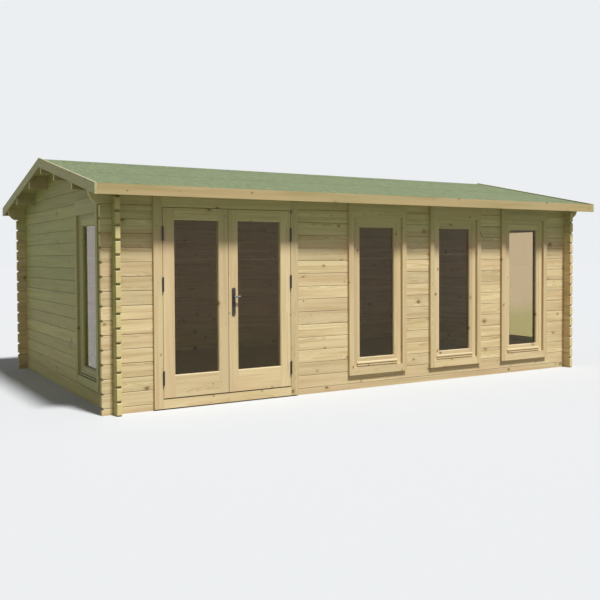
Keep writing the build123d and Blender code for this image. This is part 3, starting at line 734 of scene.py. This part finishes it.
def fixings(name, head, places, body, seed):
    """Heads on places, each a point and the way the face looks."""
    points = bpy.data.meshes.new("places")
    points.from_pydata([point for point, facing in places], [], [])
    looks = points.attributes.new("facing", "FLOAT_VECTOR", "POINT")
    looks.data.foreach_set("vector", [value for point, facing in places for value in facing])
    values = {"Head": head, "Seed": seed, "Finish": zinc_finish}
    return grown(name, fixings_tree, points, values, body)


def along_board(low, high, facing, spacing, inset):
    """Places along the middle of a board's face, from its corners and the way it looks."""
    spread = high - low
    middle = (low + high) / 2
    face = max(range(3), key=lambda i: abs(facing[i]))
    run = max((i for i in range(3) if i != face), key=lambda i: spread[i])
    middle[face] = high[face] if facing[face] > 0 else low[face]
    count = max(2, ceil((spread[run] - 2 * inset) / spacing) + 1)
    places = []
    for k in range(count):
        point = middle.copy()
        point[run] = low[run] + inset + (spread[run] - 2 * inset) * k / (count - 1)
        places.append((point, facing))
    return places


def board_corners(node):
    """Lowest and highest corner of each board of a node."""
    found = []
    for board in boards_in(welded(node)):
        spots = [v.co for v in board.verts]
        found.append((Vector(min(p[i] for p in spots) for i in range(3)),
                      Vector(max(p[i] for p in spots) for i in range(3))))
        board.free()
    return found


nail_head = turned_head("nail_head", [(0.0029, 0), (0.0029, 0.0004), (0.002, 0.0007)])
clout_head = turned_head("clout_head", [(0.0048, 0), (0.0048, 0.0005), (0.003, 0.0009)], sides=8)
screw_head = cross_head("screw_head", radius=0.0042, arm=0.0022, half_width=0.0005, rise=0.0003,
                        sunk=0.0012)

clout_inset = 0.018
clout_spacing_eaves, clout_spacing_lap = 0.09, 0.12
clout_clear_of_end = 0.03
clout_rise = 0.0006
verge_inset = 0.02
verge_clouts = 17
verge_clear_of_eaves = 0.05
clouts = []
for side, distance, rise in felt_laps:
    up = Vector((0, side * felt_fall, 1)).normalized()
    spacing = clout_spacing_eaves if distance == felt_edge else clout_spacing_lap
    run = felt_high.x - felt_low.x - 2 * clout_clear_of_end
    count = int(run / spacing)
    for k in range(count + 1):
        x = felt_low.x + clout_clear_of_end + run * k / count
        y = side * (distance - clout_inset)
        clouts.append((Vector((x, y, felt_height(y) + rise + clout_rise)), up))
for side in (-1, 1):
    up = Vector((0, side * felt_fall, 1)).normalized()
    for x in (felt_low.x + verge_inset, felt_high.x - verge_inset):
        for k in range(1, verge_clouts):
            y = side * (felt_edge - verge_clear_of_eaves) * k / verge_clouts
            clouts.append((Vector((x, y, felt_height(y) + felt_ply + clout_rise)), up))
fixings("felt_clout_nails", clout_head, clouts, "cabin", seed=21)

# Fascias and bargeboards: planed boards 19 mm thick with knots, browner than the walls, nailed to
# the ends of the roof boards and to the purlins.
trim_arris = 0.003
trim_sunk = 0.0006
fascia_nail_spacing = 0.6
fascia_nail_inset = 0.04
fascia_nail_row = 0.025
barge_nail_drops = (0.03, 0.075)
barge_nail_ends = [-1.98, -0.06, 0.06, 1.98]
barge_nail_stagger = 0.4
barge_middle = 0.05
trim_wood = softwood("trim_softwood", pale=(0.54, 0.44, 0.21, 1), late=(0.35, 0.26, 0.095, 1),
                     knot=(0.15, 0.075, 0.03, 1), knot_size=0.015)
# The bargeboards' copy is greener than the fascias': painted shade of the gables.
gable_trim_wood = softwood("gable_trim_softwood", pale=(0.60, 0.55, 0.30, 1),
                           late=(0.40, 0.32, 0.13, 1), knot=(0.15, 0.08, 0.03, 1), shelter_and_shade_green=0.4)
trim_nails = []
for node in ("front_fascia", "rear_fascia"):
    timber(node, trim_wood, edge=trim_arris)
    for low, high in board_corners(node):
        facing = Vector((0, 1 if node.startswith("rear") else -1, 0))
        for shift in (-fascia_nail_row, fascia_nail_row):
            for point, looks in along_board(low, high, facing, fascia_nail_spacing,
                                            fascia_nail_inset):
                trim_nails.append((point + Vector((0, 0, shift)) - looks * trim_sunk, looks))
purlin_places = sorted({round((low.y + high.y) / 2, 3) for low, high in board_corners("purlins")})
for node in ("left_bargeboards", "right_bargeboards"):
    timber(node, gable_trim_wood, edge=trim_arris)
    low, high = corners(node)
    facing = Vector((1 if node.startswith("right") else -1, 0, 0))
    x = high.x if facing.x > 0 else low.x
    for y in purlin_places + barge_nail_ends:
        for drop in barge_nail_drops:
            place = Vector((x, y + barge_nail_stagger * (drop - barge_middle),
                            high.z - abs(y) * felt_fall - drop))
            trim_nails.append((place - facing * trim_sunk, facing))
fixings("trim_nails", nail_head, trim_nails, "cabin", seed=22)

# Joinery: linings through the wall, boards round the openings, sashes and door leaves, all of
# planed softwood a little paler than the logs. Rails are tenoned between the stiles, and the
# boards round the openings are nailed.
frame_nail_spacing = 0.45
frame_nail_inset = 0.05
joinery_wood = softwood("joinery_softwood", pale=(0.76, 0.61, 0.355, 1),
                        late=(0.52, 0.36, 0.16, 1), knot=(0.22, 0.12, 0.05, 1),
                        ring_width=0.004, shade_green_heights=(1.50, 1.78), knots=0.6, knot_size=0.014,
                        contrast=0.85)
# The side windows' copy is greener than the front joinery: painted shade.
side_joinery_wood = softwood("side_joinery_softwood", pale=(0.63, 0.57, 0.29, 1),
                             late=(0.40, 0.34, 0.14, 1), knot=(0.14, 0.08, 0.03, 1),
                             ring_width=0.004, shelter_and_shade_green=0.4, knots=0.3, knot_size=0.013,
                             contrast=0.75, green=(0.70, 0.88, 0.66, 1))
frame_nails = []
for node in sorted(nodes):
    if not any(word in node for word in ("lining", "architraves", "sashes", "threshold")):
        continue
    at_side = node.startswith(("left", "right"))
    timber(node, side_joinery_wood if at_side else joinery_wood)
    if "architraves" in node:
        low, high = corners(node)
        middle = (low + high) / 2
        through = Vector((copysign(1, middle.x), 0, 0) if at_side else (0, -1, 0))
        for board_low, board_high in board_corners(node):
            outside = ((board_low + board_high) / 2 - middle).dot(through) > 0
            frame_nails += along_board(board_low, board_high, through if outside else -through,
                                       frame_nail_spacing, frame_nail_inset)
timber("left_door_leaf", joinery_wood, "left_door")
timber("right_door_leaf", joinery_wood, "right_door")
fixings("frame_nails", nail_head, frame_nails, "cabin", seed=23)


# Glass: clear float glass 4 mm thick, held in grooves in the sashes and leaves. It carries a
# little dust and mirrors little of the pale studio. Its warm tint, and the warm tint of what it
# mirrors, are painted reflection of the surroundings.
def float_glass(name, clear, reflection_and_dust_tint):
    """Float glass, warm as painted reflection, with an olive foot of dust and painted reflection.
    """
    made, bench, shader = new_material(name)
    place = bench.place()
    smear = bench.clouds(place, (3, 3, 0.8), 3.0)
    height = bench.calc("MULTIPLY_ADD", smear, 0.3, bench.axis(place, 2))
    # The olive foot is a little dust and painted reflection of the green ground below.
    foot = bench.ramp(height, 0.75, 1.05, 1, 0)
    bench.feed(shader, {"Base Color": bench.blend(foot, clear, reflection_and_dust_tint),
                        "Roughness": bench.ramp(smear, 0.4, 0.8, 0.0, 0.02), "IOR": 1.45,
                        "Specular IOR Level": 0.25, "Specular Tint": (0.9, 0.75, 0.6, 1),
                        "Transmission Weight": 1.0})
    return made


front_glass = float_glass("front_float_glass", (0.80, 0.72, 0.58, 1), (0.68, 0.64, 0.40, 1))
# The side panes are browner: painted reflection of the lit surroundings.
side_glass = float_glass("side_float_glass", (0.80, 0.66, 0.47, 1), (0.72, 0.64, 0.40, 1))
for node in sorted(nodes):
    if "glass" in node:
        at_side = node in ("left_window_glass", "right_window_glass")
        nodes[node].material_slots[0].material = side_glass if at_side else front_glass


# Hinges: lift-off barrel hinges of black lacquered steel. The lower knuckles are screwed to the
# frame and carry the pins, and the upper knuckles lift off with the leaves.
def worn_metal(name, clean, worn, rough, metallic, wear=(0.55, 0.75), scale=160.0):
    """A metal finish with dull patches where hands and weather have worn it."""
    made, bench, shader = new_material(name)
    patch = bench.clouds(bench.place(), scale, 4.0, 0.65)
    bench.feed(shader, {"Base Color": bench.blend(bench.ramp(patch, *wear), clean, worn),
                        "Roughness": bench.ramp(patch, 0.3, 0.8, *rough), "Metallic": metallic})
    return made


def forged(node, material, body, edge, sharp=radians(50)):
    """A metal CAD node with its square edges broken and its round faces smooth."""
    metal = welded(node)
    break_edges(metal, edge, sharp)
    made = mesh_object(node + "_metal", metal, material)
    made.data.polygons.foreach_set("use_smooth", [True] * len(made.data.polygons))
    made.data.set_sharp_from_angle(angle=radians(40))
    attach(made, body)
    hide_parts(node)


hinge_arris = 0.0004
steel_finish = worn_metal("black_steel", (0.015, 0.014, 0.013, 1), (0.055, 0.05, 0.042, 1),
                          rough=(0.35, 0.6), metallic=0.0)
forged("frame_hinges", steel_finish, "cabin", hinge_arris)
forged("left_door_hinges", steel_finish, "left_door", hinge_arris)
forged("right_door_hinges", steel_finish, "right_door", hinge_arris)

# Handle: a long dark bronze plate on each face of the right leaf, held by two screws, and a cast
# grey lever on its spindle.
plate_arris = 0.0006
lever_arris = 0.0005
screw_inset = 0.016
plate_finish = worn_metal("dark_plate", (0.036, 0.033, 0.028, 1), (0.075, 0.064, 0.044, 1),
                          rough=(0.30, 0.5), metallic=0.4, wear=(0.4, 0.8), scale=45.0)
lever_finish = worn_metal("grey_lever", (0.21, 0.205, 0.20, 1), (0.13, 0.12, 0.11, 1),
                          rough=(0.30, 0.5), metallic=1.0, scale=220.0)
forged("handle_plates", plate_finish, "right_door", plate_arris)
forged("door_lever", lever_finish, "lever", lever_arris, radians(80))
plate_low, plate_high = corners("handle_plates")
plate_x = (plate_low.x + plate_high.x) / 2
plate_faces = ((plate_low.y, Vector((0, -1, 0))), (plate_high.y, Vector((0, 1, 0))))
plate_screws = [(Vector((plate_x, y, z)), facing) for y, facing in plate_faces
                for z in (plate_low.z + screw_inset, plate_high.z - screw_inset)]
fixings("plate_screws", screw_head, plate_screws, "right_door", seed=24)
for head in (nail_head, clout_head, screw_head):
    bpy.data.objects.remove(head)

bpy.context.scene.view_settings.view_transform = "Standard"
